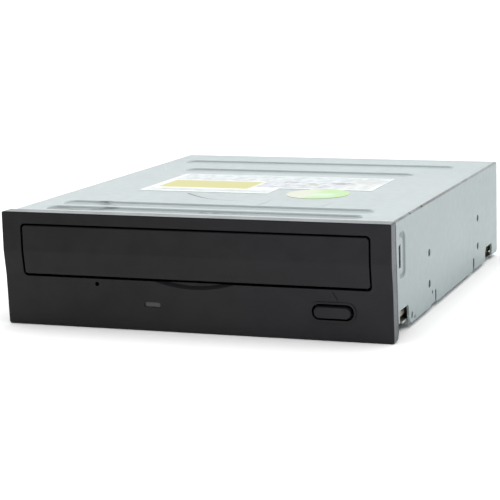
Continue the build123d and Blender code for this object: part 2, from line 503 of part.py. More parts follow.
tb = slab_z(rr(0, 13.6, 95.2, 93.2, 3.0), 17.0, 18.0)      # x +-47.6, y -33..60.2
tb_add = []
for x in (-22.0, 22.0):
    tb_add += [bx(x - 2.6, x + 2.6, -3.6, -0.4, 17.0, 23.6), bx(x - 2.6, x + 2.6, 57.2, 60.0, 17.0, 23.6)]
tb_add.append(bx(30.2, 35.8, 53.0, 55.0, 17.0, 23.4))
tb_cut = [bx(-27, 27, 0.2, 56.6, 16, 19), cz(0, SPINDLE_Y, 16, 19, 3.5)]
tb_cut += [cz(x, y, 16, 19, 2.65) for x, y in DAMP]
tb_cut += [bx(27.9, 38.1, -11.0, 4.0, 16, 18.5), bx(-42, -32, 4, 40, 16, 19), bx(-40, -26, -28, -10, 16, 19)]
tb_cut += [cy(x, 21.0, -5, 61, 1.5) for x in (-22.0, 22.0)]
tb_cut += [cy(33.0, 20.2, 50, 56, 1.56)]
tb = tb + tb_add
tb = tb - tb_cut
parts["traverse_base"] = tb


def damper(x, y):
    d = cz(x, y, 15.0, 17.0, 3.8) + cz(x, y, 16.9, 18.1, 2.6) + cz(x, y, 18.0, 19.5, 3.8)
    return d - cz(x, y, 14, 20, 1.5)


parts["rubber_dampers"] = group([damper(x, y) for x, y in DAMP])
parts["damper_screws"] = group([(cz(x, y, 12.6, 19.6, 1.5) + cz(x, y, 19.5, 21.2, 3.0)) - cross(x, y, 20.5, 22, 2.8) for x, y in DAMP])
parts["guide_rods"] = group([cy(x, 21.0, -3.6, 60.0, 1.5) for x in (-22.0, 22.0)])

spin = cz(0, SPINDLE_Y, 18.0, 19.2, 14.0) + [cz(0, SPINDLE_Y, 14.2, 24.6, 3.2), cz(0, SPINDLE_Y, 19.1, 20.5, 5.5)]
star = cz(0, SPINDLE_Y, 20.4, 23.8, 10.6)
for k in range(9):
    a = 2 * math.pi * k / 9
    star -= Pos(10.2 * COS(a) * 0.86, SPINDLE_Y + 10.2 * SIN(a) * 0.86, 22) * Rot(0, 0, math.degrees(a)) * Box(3.4, 2.0, 5)
spin = spin + star
spin -= cz(0, SPINDLE_Y, 14.9, 26, 1.56)
parts["spindle_motor"] = spin
rotor = cz(0, SPINDLE_Y, 19.9, 26.2, 12.8) - cz(0, SPINDLE_Y, 19, 25.3, 11.8)
rotor = rotor + [cz(0, SPINDLE_Y, 15.2, 31.0, 1.5)]
parts["spindle_rotor"] = rotor
parts["rotor_magnet"] = cz(0, SPINDLE_Y, 20.2, 25.2, 11.8) - cz(0, SPINDLE_Y, 20, 26, 10.95)
hub = revolve(Plane.XZ * poly((1.5, 26.2), (6.0, 26.2), (6.0, 27.2), (15.0, 27.2), (15.0, 29.6), (7.45, 29.6), (7.45, 31.2), (6.2, 32.4), (1.5, 32.4)), Axis.Z)
hub = Pos(0, SPINDLE_Y, 0) * hub
hub = hub + cz(0, SPINDLE_Y, 31.0, 32.4, 1.6)
for k in range(3):
    a = 2 * math.pi * k / 3 + 0.3
    hub -= Pos(6.9 * COS(a), SPINDLE_Y + 6.9 * SIN(a), 31.0) * Rot(0, 0, math.degrees(a)) * Box(1.4, 1.8, 1.6)
parts["turntable"] = hub
parts["turntable_ring"] = cz(0, SPINDLE_Y, 29.6, 30.0, 14.8) - cz(0, SPINDLE_Y, 29, 31, 11.2)

# optical pickup
LY = LENS_Y0
pu = [bx(-18.2, 18.2, LY - 12, LY + 12, 18.8, 24.6), bx(-26.0, -17.5, LY - 7.5, LY + 10.5, 18.8, 23.4),
      bx(17.5, 24.6, LY - 4, LY + 6, 18.3, 19.2), bx(17.5, 24.6, LY - 4, LY + 6, 22.8, 23.6), bx(17.5, 20.0, LY - 4, LY + 6, 18.3, 23.6),
      bx(-14.0, 14.0, LY - 4.5, LY + 12, 14.2, 19.0)]
pu = join(pu)
pu = pu - [cy(-22.0, 21.0, LY - 9, LY + 12, 1.55), cz(0, SPINDLE_Y, 13, 26, 14.6), bx(-11.5, 11.5, LY - 8.6, LY + 8.6, 23.4, 26),
           bx(-24.0, -20.0, LY - 2.0, LY + 5.0, 22.8, 24), cy(7.0, 16.6, LY + 9.5, LY + 13, 1.6)]
parts["optical_pickup"] = pu
lens_h = bx(-7.6, 7.6, LY - 5.4, LY + 5.4, 24.6, 27.0) - [cz(0, LY, 24, 28, 2.8)]
lens_h = try_fillet(lens_h, lambda e: abs(e.center().Z - 25.8) < 0.1 and abs(e.center().X) > 7, 1.6)
parts["lens_holder"] = lens_h
dome = Pos(0, LY, 21.6) * Sphere(6.4) & cz(0, LY, 26.2, 28.4, 2.8)
parts["objective_lens"] = dome + cz(0, LY, 25.4, 26.4, 2.8)
parts["actuator_magnets"] = group([bx(-5.5, 5.5, LY - 7.9, LY - 6.4, 23.4, 26.6), bx(-5.5, 5.5, LY + 6.4, LY + 7.9, 23.4, 26.6)])
rackp = bx(12.4, 31.0, LY - 2, LY + 6, 24.6, 25.2) + bx(29.4, 31.1, LY - 2, LY + 6, 18.8, 25.2)
parts["pickup_rack"] = rackp

sm = cy(33.0, 20.2, -10.4, 3.4, 4.8) + [bx(26.0, 40.0, 3.2, 4.2, 18.0, 24.6)]
sm -= [cy(33.0, 20.2, -10.0, 5, 1.56)]
parts["sled_motor"] = sm
parts["lead_screw"] = cy(33.0, 20.2, -9.6, 55.0, 1.5)

# ---------------------------------------------------------------- clamp
parts["clamp_bridge"] = (join([bx(-70.6, 70.6, SPINDLE_Y - 12, SPINDLE_Y + 12, 34.0, 35.0), cz(0, SPINDLE_Y, 34.0, 35.0, 23.0)])
                         - [cz(0, SPINDLE_Y, 33, 36, 16.6)] - [cz(sx * 67.0, y, 33, 36, 1.0) for sx in (-1, 1) for y in (-24.0, -6.0)])
parts["bridge_screws"] = group([(cz(sx * 67.0, y, 31.0, 35.1, 1.0) + cz(sx * 67.0, y, 35.0, 36.2, 1.9)) - cross(sx * 67.0, y, 35.7, 37, 2.2)
                                for sx in (-1, 1) for y in (-24.0, -6.0)])
cl = cz(0, SPINDLE_Y, 31.7, 36.9, 15.4) + cz(0, SPINDLE_Y, 35.7, 36.9, 18.2)
cl -= [cz(0, SPINDLE_Y, 31, 33.8, 8.3), cz(0, SPINDLE_Y, 34.8, 38, 9.0)]
parts["clamper"] = cl
parts["clamper_magnet"] = cz(0, SPINDLE_Y, 34.8, 36.6, 8.9) - cz(0, SPINDLE_Y, 34, 38, 3.0)

# ---------------------------------------------------------------- main board and connectors
PB_Z0, PB_Z1 = 3.4, 5.0
pcb = bx(-68.0, 68.0, 8.0, 84.0, PB_Z0, PB_Z1) + bx(-70.5, 70.5, 55.0, 79.0, PB_Z0, PB_Z1)
pcb -= [cz(x, 72.0, 3, 6, 3.5) for x in (-62.0, 62.0)] + [cz(x, 60.0, 3, 6, 1.25) for x in (-64.0, 64.0)]
parts["main_board"] = pcb
parts["board_screws"] = group([(cz(x, 60.0, 3.3, 9.0, 1.25) + cz(x, 60.0, 2.2, 3.4, 2.4)) - cross(x, 60.0, 2.0, 2.7, 2.6) for x in (-64.0, 64.0)])
parts["main_chips"] = group([bx(0, 20, 26, 46, 5.0, 6.4), bx(26, 38, 28, 36, 5.0, 6.2), bx(-40, -28, 26, 38, 5.0, 6.2), bx(-4, 14, 56, 64, 5.0, 6.2),
                             bx(-34, -26, 50, 57, 5.0, 6.6), bx(38, 45, 56, 62, 5.0, 6.6)])
parts["capacitors"] = group([cz(54.5, 20.0, 5.0, 10.4, 2.4), cz(62.0, 24.0, 5.0, 10.4, 2.4), cz(-56.0, 20.0, 5.0, 11.0, 3.1), cz(-63.0, 27.0, 5.0, 10.4, 2.4)])

dc = bx(DATA[0], DATA[1], DATA[2], 84.9, DATA[3], DATA[4])
dc -= [bx(DATA[0] + 1.4, DATA[1] - 1.4, 77.4, 86, 6.3, 12.9), bx(1.8, 6.2, 77.4, 86, 12.5, 15)]
parts["data_connector"] = dc
pins = []
for i in range(20):
    for j in range(2):
        if (i, j) == (9, 0):
            continue
        x = 4.0 + (i - 9.5) * 2.54
        z = 9.6 + (j - 0.5) * 2.54
        pins.append(bx(x - 0.32, x + 0.32, 77.4, 83.6, z - 0.32, z + 0.32))
parts["data_pins"] = group(pins)
pc = slab_y(poly((POWER[0], POWER[3]), (POWER[1], POWER[3]), (POWER[1], POWER[4]), (POWER[0], POWER[4])), POWER[2], 84.9)
pc -= slab_y(poly((POWER[0] + 1.2, 6.2), (POWER[1] - 1.2, 6.2), (POWER[1] - 1.2, 12.0), (POWER[1] - 3.4, 14.3), (POWER[0] + 3.4, 14.3), (POWER[0] + 1.2, 12.0)), 76.6, 86)
parts["power_connector"] = pc
parts["power_pins"] = group([cy(-49.5 + (i - 1.5) * 5.08, 9.6, 76.6, 83.6, 1.05) for i in range(4)])
ac = bx(AUDIO[0], AUDIO[1], AUDIO[2], 84.9, AUDIO[3], AUDIO[4]) - [bx(51.0, 60.0, 78.0, 86, 6.0, 10.0), bx(54.5, 56.5, 78, 86, 9.5, 12)]
parts["audio_connector"] = ac
parts["audio_pins"] = group([bx(55.5 + (i - 1.5) * 2.0 - 0.25, 55.5 + (i - 1.5) * 2.0 + 0.25, 78.0, 83.4, 7.8, 8.3) for i in range(4)])
parts["jumper_base"] = bx(JUMP[0], JUMP[1], 77.5, 80.0, JUMP[3], 10.4)
jp = []
for i in range(3):
    for j in range(2):
        x = 42.35 + (i - 1) * 2.54
        z = 7.7 + (j - 0.5) * 2.54
        jp.append(bx(x - 0.32, x + 0.32, 80.0, 84.2, z - 0.32, z + 0.32))
parts["jumper_pins"] = group(jp)
jc = bx(42.35 - 2.54 - 1.15, 42.35 - 2.54 + 1.15, 80.2, 84.8, 5.3, 10.1)
jc -= [bx(42.35 - 2.54 - 0.36, 42.35 - 2.54 + 0.36, 79, 84.4, z - 0.36, z + 0.36) for z in (6.43, 8.97)]
parts["jumper_cap"] = jc
main_socket = bx(49.6, 57.4, 10.0, 13.6, 5.0, 7.2) - bx(50.2, 56.8, 9, 12.2, 5.7, 6.5)

# flat cable from the front board to the main board, along the floor
W0, W1 = 51.0, 56.0
path = Plane(origin=(W0, 0, 0), x_dir=(0, 1, 0), z_dir=(1, 0, 0))
ribbon = poly((-63.9, 7.9), (-58.6, 7.9), (-56.4, 6.2), (-54.8, 2.2), (-53.6, 1.75), (5.0, 1.75), (6.4, 2.3), (7.4, 5.4), (8.6, 6.2), (12.2, 6.2),
              (12.2, 6.0), (8.8, 6.0), (7.6, 5.3), (6.6, 2.1), (5.1, 1.5), (-53.7, 1.5), (-55.0, 2.1), (-56.6, 6.0), (-58.8, 7.7), (-63.9, 7.7))
parts["front_flat_cable"] = extrude(path * ribbon, amount=W1 - W0)

pickup_socket = bx(-13.4, -1.6, 40.0, 43.4, 5.0, 7.4) - bx(-12.6, -2.4, 39, 42.2, 6.4, 7.1)
parts["flat_cable_sockets"] = group([front_socket, main_socket, pickup_socket])

# pickup flat cable: from under the pickup back to the board, a loose fold
fold = poly((19.8, 15.6), (24.0, 15.6), (30.0, 13.6), (36.0, 9.4), (39.2, 6.95), (41.2, 6.9), (41.2, 6.7), (39.1, 6.75), (35.8, 9.2), (29.8, 13.4), (23.9, 15.4), (19.8, 15.4))
parts["pickup_flat_cable"] = Pos(0, LY - 8.0 + 0.3, 0) * extrude(Plane(origin=(-12.0, 0, 0), x_dir=(0, 1, 0), z_dir=(1, 0, 0)) * fold, amount=9.0)

# ---------------------------------------------------------------- labels
LZ0, LZ1 = CASE_Z1, CASE_Z1 + 0.1
label = poly((-47.5, YF + 60), (6.6, YF + 60), (6.6, YF + 74), (44.5, YF + 74), (44.5, YF + 107.5), (-47.5, YF + 107.5))
label = slab_z(label, LZ0, LZ1)
seal_c, seal_r = (26.4, YF + 63.4), 12.3
parts["rating_label"] = label - cz(seal_c[0], seal_c[1], 41, 43, seal_r)
parts["round_label"] = cz(seal_c[0], seal_c[1], LZ0, LZ1, seal_r)

# ---------------------------------------------------------------- write
os.makedirs("parts", exist_ok=True)
for name, shape in parts.items():
    export_step(shape, os.path.join("parts", name + ".step"))
print(len(parts), "nodes")
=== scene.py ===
import bpy
import bmesh
import math
import random
from mathutils import Matrix, Vector


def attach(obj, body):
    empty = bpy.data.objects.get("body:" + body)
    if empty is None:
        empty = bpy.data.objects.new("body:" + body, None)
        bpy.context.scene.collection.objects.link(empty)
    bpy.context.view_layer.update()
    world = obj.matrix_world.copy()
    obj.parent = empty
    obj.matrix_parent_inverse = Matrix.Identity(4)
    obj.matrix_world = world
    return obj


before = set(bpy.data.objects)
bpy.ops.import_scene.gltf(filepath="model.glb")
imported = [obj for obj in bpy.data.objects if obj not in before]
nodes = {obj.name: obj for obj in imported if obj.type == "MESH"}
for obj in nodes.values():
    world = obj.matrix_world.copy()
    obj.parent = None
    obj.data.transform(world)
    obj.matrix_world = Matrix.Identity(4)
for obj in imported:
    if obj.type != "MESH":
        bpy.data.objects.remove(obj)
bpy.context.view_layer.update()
rng = random.Random(7)
MM = 0.001
scene = bpy.context.scene


# ------------------------------------------------------------------ shader helper
class Shader:
    """One material: a Principled shader and a few short ways to wire it."""

    def __init__(self, name, color=(0.5, 0.5, 0.5), rough=0.5, metal=0.0, spec=0.5, ior=1.5):
        self.mat = bpy.data.materials.new(name)
        self.mat.use_nodes = True
        self.nt = self.mat.node_tree
        self.nt.nodes.clear()
        self.out = self.nt.nodes.new("ShaderNodeOutputMaterial")
        self.b = self.nt.nodes.new("ShaderNodeBsdfPrincipled")
        self.nt.links.new(self.b.outputs[0], self.out.inputs[0])
        self.b.inputs["Base Color"].default_value = (*color, 1)
        self.b.inputs["Roughness"].default_value = rough
        self.b.inputs["Metallic"].default_value = metal
        self.b.inputs["Specular IOR Level"].default_value = spec
        self.b.inputs["IOR"].default_value = ior
        tc = self.nt.nodes.new("ShaderNodeTexCoord")
        self.co = tc.outputs["Object"]
        sx = self.nt.nodes.new("ShaderNodeSeparateXYZ")
        self.nt.links.new(self.co, sx.inputs[0])
        self.x, self.y, self.z = sx.outputs
        self.mat.diffuse_color = (*color, 1)

    def link(self, value, socket):
        if isinstance(value, (int, float)):
            socket.default_value = value
        elif isinstance(value, tuple):
            socket.default_value = (*value, 1) if len(value) == 3 and len(socket.default_value) == 4 else value
        else:
            self.nt.links.new(value, socket)

    def scaled(self, sx, sy, sz, rot=(0, 0, 0), vec=None):
        n = self.nt.nodes.new("ShaderNodeMapping")
        self.nt.links.new(vec or self.co, n.inputs["Vector"])
        n.inputs["Scale"].default_value = (sx, sy, sz)
        n.inputs["Rotation"].default_value = rot
        return n.outputs[0]

    def noise(self, scale, detail=3.0, rough=0.55, vec=None, distort=0.0):
        n = self.nt.nodes.new("ShaderNodeTexNoise")
        self.nt.links.new(vec or self.co, n.inputs["Vector"])
        n.inputs["Scale"].default_value = scale
        n.inputs["Detail"].default_value = detail
        n.inputs["Roughness"].default_value = rough
        n.inputs["Distortion"].default_value = distort
        return n.outputs[0]

    def voronoi(self, scale, feature="F1", vec=None, rand=1.0):
        n = self.nt.nodes.new("ShaderNodeTexVoronoi")
        n.feature = feature
        self.nt.links.new(vec or self.co, n.inputs["Vector"])
        n.inputs["Scale"].default_value = scale
        n.inputs["Randomness"].default_value = rand
        return n

    def math(self, op, a, b=0.0, clamp=False):
        n = self.nt.nodes.new("ShaderNodeMath")
        n.operation = op
        n.use_clamp = clamp
        self.link(a, n.inputs[0])
        self.link(b, n.inputs[1])
        return n.outputs[0]

    def ramp(self, v, a, b, lo=0.0, hi=1.0, smooth=True):
        n = self.nt.nodes.new("ShaderNodeMapRange")
        n.interpolation_type = "SMOOTHSTEP" if smooth else "LINEAR"
        n.clamp = True
        self.link(v, n.inputs[0])
        for s, val in zip(n.inputs[1:5], (a, b, lo, hi)):
            s.default_value = val
        return n.outputs[0]

    def mix(self, fac, a, b, mode="MIX"):
        n = self.nt.nodes.new("ShaderNodeMix")
        n.data_type = "RGBA"
        n.blend_type = mode
        self.link(fac, n.inputs["Factor"])
        self.link(a, n.inputs[6])
        self.link(b, n.inputs[7])
        return n.outputs[2]

    def color(self, v):
        self.link(v, self.b.inputs["Base Color"])

    def rough(self, v):
        self.link(v, self.b.inputs["Roughness"])

    def bump(self, height, strength=0.5, dist=0.0001, prev=None):
        n = self.nt.nodes.new("ShaderNodeBump")
        n.inputs["Strength"].default_value = strength
        n.inputs["Distance"].default_value = dist
        self.link(height, n.inputs["Height"])
        if prev is not None:
            self.nt.links.new(prev, n.inputs["Normal"])
        self.nt.links.new(n.outputs[0], self.b.inputs["Normal"])
        return n.outputs[0]

    def box_mask(self, x0, x1, y0, y1, soft=0.05, u=None, v=None):
        """1 inside a rectangle of the object's X and Y, in millimetres."""
        s = soft * MM
        u, v = u or self.x, v or self.y
        m = self.math("MULTIPLY", self.ramp(u, x0 * MM - s, x0 * MM + s), self.ramp(u, x1 * MM - s, x1 * MM + s, 1, 0))
        return self.math("MULTIPLY", m, self.math("MULTIPLY", self.ramp(v, y0 * MM - s, y0 * MM + s), self.ramp(v, y1 * MM - s, y1 * MM + s, 1, 0)))

    def stroke_mask(self, p, q, width, u=None, v=None, soft=0.6):
        """1 along a thin straight stroke from p to q, in millimetres of X and Y."""
        u, v = u or self.x, v or self.y
        px, py, qx, qy = (c * MM for c in (*p, *q))
        dx, dy = qx - px, qy - py
        ll = dx * dx + dy * dy
        rx, ry = self.math("SUBTRACT", u, px), self.math("SUBTRACT", v, py)
        t = self.math("DIVIDE", self.math("ADD", self.math("MULTIPLY", rx, dx), self.math("MULTIPLY", ry, dy)), ll, clamp=True)
        ex = self.math("SUBTRACT", rx, self.math("MULTIPLY", t, dx))
        ey = self.math("SUBTRACT", ry, self.math("MULTIPLY", t, dy))
        d = self.math("SQRT", self.math("ADD", self.math("MULTIPLY", ex, ex), self.math("MULTIPLY", ey, ey)))
        return self.ramp(d, width * MM * soft * 0.5, width * MM, 1, 0)

    def most(self, items):
        out = items[0]
        for i in items[1:]:
            out = self.math("MAXIMUM", out, i)
        return out

    def dust(self, scale=900.0, amount=0.10, up=True):
        """Scattered specks, more of them on faces that look up."""
        v = self.voronoi(scale)
        speck = self.ramp(v.outputs["Distance"], 0.06, 0.16, 1, 0)
        sel = self.ramp(self.noise(scale * 0.35, 2.0), 0.60, 0.66)
        m = self.math("MULTIPLY", self.math("MULTIPLY", speck, sel), amount * 6)
        if up:
            g = self.nt.nodes.new("ShaderNodeNewGeometry")
            s = self.nt.nodes.new("ShaderNodeSeparateXYZ")
            self.nt.links.new(g.outputs["Normal"], s.inputs[0])
            m = self.math("MULTIPLY", m, self.ramp(s.outputs[2], 0.1, 0.9, 0.15, 1.0))
        return self.math("MINIMUM", m, 1.0)


def use(name, shader):
    o = nodes[name]
    if not o.material_slots:
        o.data.materials.append(shader.mat)
    for s in o.material_slots:
        s.material = shader.mat


# ------------------------------------------------------------------ materials
def plastic(name, base, rough=0.42, grain=2600.0, grain_depth=0.000012, dusty=0.05, vary=0.12, sheen_spots=True):
    s = Shader(name, base, rough)
    big = s.noise(45.0, 3.0)
    lo = tuple(c * (1 - vary) for c in base)
    hi = tuple(min(1, c * (1 + vary)) for c in base)
    col = s.mix(s.ramp(big, 0.35, 0.65), lo, hi)
    if dusty:
        col = s.mix(s.dust(1100.0, dusty), col, (0.32, 0.31, 0.30))
    s.color(col)
    r = s.ramp(s.noise(130.0, 4.0, vec=s.scaled(1, 1, 1.6)), 0.3, 0.7, rough - 0.05, rough + 0.07)
    s.rough(r)
    h = s.noise(grain, 2.0, 0.6)
    s.bump(h, 0.55, grain_depth)
    return s


frame_mat = plastic("frame_plastic", (0.030, 0.030, 0.031), 0.50, 1500.0, 0.00003, 0.03)
tray_mat = plastic("tray_plastic", (0.028, 0.028, 0.029), 0.46, 2000.0, 0.00002, 0.04)
traverse_mat = plastic("traverse_plastic", (0.022, 0.022, 0.023), 0.5, 1400.0, 0.00003, 0.03)
turn_mat = plastic("turntable_plastic", (0.020, 0.020, 0.022), 0.38, 2500.0, 0.00001, 0.03)
acetal_mat = plastic("acetal", (0.72, 0.70, 0.64), 0.38, 1800.0, 0.00001, 0.0, 0.04)
cream_mat = plastic("socket_plastic", (0.74, 0.71, 0.60), 0.42, 1500.0, 0.00001, 0.0, 0.05)
chip_mat = plastic("chip_plastic", (0.020, 0.020, 0.021), 0.55, 3000.0, 0.00001, 0.03)
conn_mat = plastic("connector_plastic", (0.018, 0.018, 0.018), 0.45, 1500.0, 0.00002, 0.03)
rubber_mat = plastic("rubber", (0.018, 0.018, 0.019), 0.72, 1200.0, 0.00003, 0.05)


def moulding(name, base, face_rough=0.36, side_sheen_col=None, face_spec=0.30, flange=False):
    """Black moulding: textured front face, smooth and shinier sides; painted light darkens the face on the left and
    lightens it on the right, and a painted sheen gives the sides their own lighter colour.
    """
    s = Shader(name, base, face_rough)
    g = s.nt.nodes.new("ShaderNodeNewGeometry")
    sp = s.nt.nodes.new("ShaderNodeSeparateXYZ")
    s.nt.links.new(g.outputs["Normal"], sp.inputs[0])
    side = s.ramp(s.math("ABSOLUTE", sp.outputs[1]), 0.55, 0.9, 1.0, 0.0)
    if flange:
        outer = s.most([s.ramp(s.math("ABSOLUTE", s.x), 0.0730, 0.0733), s.ramp(s.z, 0.0408, 0.0412), s.ramp(s.z, 0.0008, 0.0012, 1, 0)])
        side = s.math("MULTIPLY", side, outer)
        # painted shade: in the last millimetre of the side band before the bezel's rear edge, the band takes the face
        # colour and roughness instead of the side's, giving a dark line where the bezel meets the case
        edge = s.math("ADD", s.ramp(s.z, 0.007, 0.034, 0.0015, 0.0, smooth=False), -0.079)
        gap_shade_cut = s.ramp(s.math("SUBTRACT", s.y, edge), -0.0012, -0.0009, 1.0, 0.0)
        gap_shade_cut = s.math("MAXIMUM", gap_shade_cut, s.ramp(s.z, 0.0400, 0.0412))
        side = s.math("MULTIPLY", side, gap_shade_cut)
    big = s.noise(45.0, 3.0)
    lo = tuple(c * 0.86 for c in base)
    hi = tuple(c * 1.16 for c in base)
    # painted light: the front face is darker on the left and lighter, bluer on the right
    painted_left_right_light = s.mix(s.ramp(s.x, -0.074, 0.074), (base[0] * 0.52, base[1] * 0.53, base[2] * 0.45), (base[0] * 1.42, base[1] * 1.38, base[2] * 1.62))
    col = s.mix(s.math("MULTIPLY", s.ramp(big, 0.35, 0.65), 0.35), painted_left_right_light, hi)
    # painted sheen: the sides take their own lighter colour (bluish on the bezel) that stands in for their reflection
    if side_sheen_col:
        col = s.mix(side, col, side_sheen_col)
    col = s.mix(s.dust(1500.0, 0.045), col, (0.30, 0.29, 0.28))
    s.color(col)
    r0 = s.ramp(s.noise(150.0, 4.0), 0.3, 0.7, face_rough - 0.05, face_rough + 0.06)
    r1 = s.ramp(s.noise(90.0, 4.0), 0.3, 0.7, 0.17, 0.25)
    s.rough(s.math("ADD", s.math("MULTIPLY", side, r1), s.math("MULTIPLY", s.math("SUBTRACT", 1.0, side), r0)))
    s.b.inputs["Specular IOR Level"].default_value = face_spec
    s.bump(s.math("MULTIPLY", s.noise(2400.0, 2.0, 0.6), s.ramp(side, 0, 1, 1.0, 0.15)), 0.5, 0.000012)
    return s


def steel(name, base, rough, vary=0.06, grain=(600, 5200, 600), grain_mix=0.5, spangle=260.0, metal=1.0):
    """Zinc coated sheet: a soft mottle and rolling lines."""
    s = Shader(name, base, rough, metal)
    mott = s.noise(spangle, 4.0, 0.6)
    cloud = s.noise(22.0, 3.0, 0.5)
    lines = s.noise(1.0, 2.0, 0.6, vec=s.scaled(*grain))
    f = s.math("ADD", s.math("MULTIPLY", s.ramp(mott, 0.3, 0.7), 0.45), s.math("MULTIPLY", s.ramp(cloud, 0.3, 0.7), 0.55))
    lo = tuple(c * (1 - vary) for c in base)
    hi = tuple(min(1, c * (1 + vary)) for c in base)
    col = s.mix(f, lo, hi)
    s.base = col
    r = s.math("ADD", s.ramp(mott, 0.25, 0.75, rough - 0.05, rough + 0.05), s.ramp(lines, 0.3, 0.7, -0.03, 0.03))
    s.r = r
    s.color(col)
    s.rough(r)
    h = s.math("ADD", s.math("MULTIPLY", lines, grain_mix), s.math("MULTIPLY", mott, 1 - grain_mix))
    s.bump(h, 0.35, 0.00002)
    return s


# the bezel's bluish side colour is a painted sheen
bezel_mat = moulding("bezel_plastic", (0.0098, 0.0095, 0.0106), 0.40, (0.010, 0.024, 0.033), 0.24, flange=True)
door_mat = moulding("door_plastic", (0.0086, 0.0084, 0.0094), 0.38, (0.010, 0.010, 0.011), 0.24)
button_mat = moulding("button_plastic", (0.0085, 0.0082, 0.0090), 0.35, (0.008, 0.008, 0.009), 0.26)

# the top cover carries what the photograph shows of handling: a few fine
# strokes, a hair-thin curl and two dark smudges at its front lip
top = steel("cover_steel", (0.466, 0.528, 0.536), 0.40, 0.045, metal=0.72)
gn = top.nt.nodes.new("ShaderNodeNewGeometry")
gs = top.nt.nodes.new("ShaderNodeSeparateXYZ")
top.nt.links.new(gn.outputs["Normal"], gs.inputs[0])
# painted shade: the side faces are darker than the top and darker still towards their lower edge, and the rear part of
# the top is a little darker
flank = top.ramp(top.math("ABSOLUTE", gs.outputs[0]), 0.60, 0.92)
low = top.math("MULTIPLY", flank, top.ramp(top.z, 0.002, 0.017, 1, 0))
rear = top.math("MULTIPLY", top.ramp(top.y, 0.015, 0.070), top.math("SUBTRACT", 1.0, flank))
shade = top.mix(flank, (1.0, 1.0, 1.0), (0.680, 0.705, 0.706))
shade = top.mix(top.math("MULTIPLY", low, 0.5), shade, (0.62, 0.655, 0.66))
shade = top.mix(rear, shade, (0.915, 0.94, 0.94))
# painted shade on the floors of the pressed beads (darkest in the front bead) and of the groove behind the hook slot,
# and a painted highlight on the bead walls and on the flat ridges beside the front beads
# painted shade: mask of the bead floors, which are darkened below
sunk = top.math("MULTIPLY", top.ramp(top.z, 0.04122, 0.04134, 1.0, 0.0), top.ramp(top.z, 0.0408, 0.0410))
sunk = top.math("MULTIPLY", sunk, top.math("MULTIPLY", top.ramp(top.math("ABSOLUTE", top.x), 0.0695, 0.0705, 1.0, 0.0), top.ramp(top.y, 0.078, 0.080, 1.0, 0.0)))
bead_floor_shade = top.mix(top.ramp(top.y, -0.0655, -0.0645), (0.64, 0.66, 0.66), (0.78, 0.80, 0.80))
bead_floor_shade = top.mix(top.ramp(top.y, 0.010, 0.020), bead_floor_shade, (0.86, 0.875, 0.88))
shade = top.mix(sunk, shade, bead_floor_shade)
# painted highlight: the bead walls are lighter than the flat top
wall = top.math("MULTIPLY", top.ramp(top.z, 0.04124, 0.04132), top.ramp(top.z, 0.04164, 0.04172, 1.0, 0.0))
wall = top.math("MULTIPLY", wall, top.math("MULTIPLY", top.ramp(top.math("ABSOLUTE", top.x), 0.0695, 0.0705, 1.0, 0.0), top.ramp(top.y, 0.078, 0.080, 1.0, 0.0)))
shade = top.mix(wall, shade, (1.22, 1.22, 1.22))
# painted highlight on the flat ridges beside the front beads
flat_z = top.ramp(top.z, 0.04150, 0.04165)
ridge_highlight = top.most([top.box_mask(-68.0, 66.0, -66.3, -63.5, 0.25), top.box_mask(-70.0, 70.0, -77.2, -75.4, 0.3)])
shade = top.mix(top.math("MULTIPLY", top.math("MULTIPLY", ridge_highlight, flat_z), 0.9), shade, (1.07, 1.07, 1.07))
# painted shade in the recessed groove on the sides behind the hook slot
groove_shade = top.math("MULTIPLY", top.math("MULTIPLY", flank, top.ramp(top.math("ABSOLUTE", top.x), 0.07278, 0.07292, 1.0, 0.0)),
                  top.box_mask(14.9, 21.9, 18.5, 38.5, 0.4, u=top.math("ADD", top.y, 0.085), v=top.z))
shade = top.mix(groove_shade, shade, (0.44, 0.46, 0.46))
top.base = top.mix(1.0, top.base, shade, "MULTIPLY")
fine = []
for _ in range(16):
    a = rng.uniform(-70, 70), rng.uniform(-78, 80)
    ang, ln = rng.uniform(0, math.pi), rng.uniform(4, 20)
    fine.append(top.stroke_mask(a, (a[0] + ln * math.cos(ang), a[1] + ln * math.sin(ang)), rng.uniform(0.08, 0.14)))
fine_m = top.math("MULTIPLY", top.most(fine), top.ramp(top.noise(160.0, 2.0), 0.35, 0.6, 0.1, 0.5))
col = top.mix(fine_m, top.base, (0.80, 0.81, 0.82))
on_top = top.ramp(top.z, 0.0405, 0.0410)
on_side = top.math("SUBTRACT", 1.0, on_top)
# a fine dark curl, two short dull strokes and two stains at the front lip
curl = [(-24.5, -29.1), (-19.9, -33.7), (-15.3, -37.8), (-11.5, -40.5), (-7.2, -42.1), (-2.3, -43.2), (4.4, -43.6)]
m = top.most([top.stroke_mask(p, q, w, soft=0.3) for p, q, w in zip(curl, curl[1:], (0.66, 0.72, 0.64, 0.52, 0.40, 0.30))])
col = top.mix(top.math("MULTIPLY", top.math("MULTIPLY", m, top.ramp(top.x, -0.026, 0.005, 1.0, 0.6)), on_top), col, (0.05, 0.06, 0.06))
m = top.most([top.stroke_mask((13.3, -52.4), (13.9, -46.0), 0.7, soft=0.3), top.stroke_mask((13.9, -46.0), (13.6, -39.1), 0.4, soft=0.3),
              top.stroke_mask((37.9, -50.8), (38.6, -41.6), 0.5, soft=0.3)])
col = top.mix(top.math("MULTIPLY", top.math("MULTIPLY", m, 0.45), on_top), col, (0.20, 0.25, 0.23))
m = top.math("MULTIPLY", top.stroke_mask((-1.4, -69.6), (4.5, -70.2), 2.4, soft=0.1), top.ramp(top.noise(420.0, 3.0), 0.38, 0.62))
col = top.mix(top.math("MULTIPLY", m, 0.95), col, (0.055, 0.030, 0.018))
m = top.math("MULTIPLY", top.stroke_mask((6.6, -69.2), (12.8, -69.0), 1.7, soft=0.1), top.ramp(top.noise(420.0, 3.0), 0.38, 0.62))
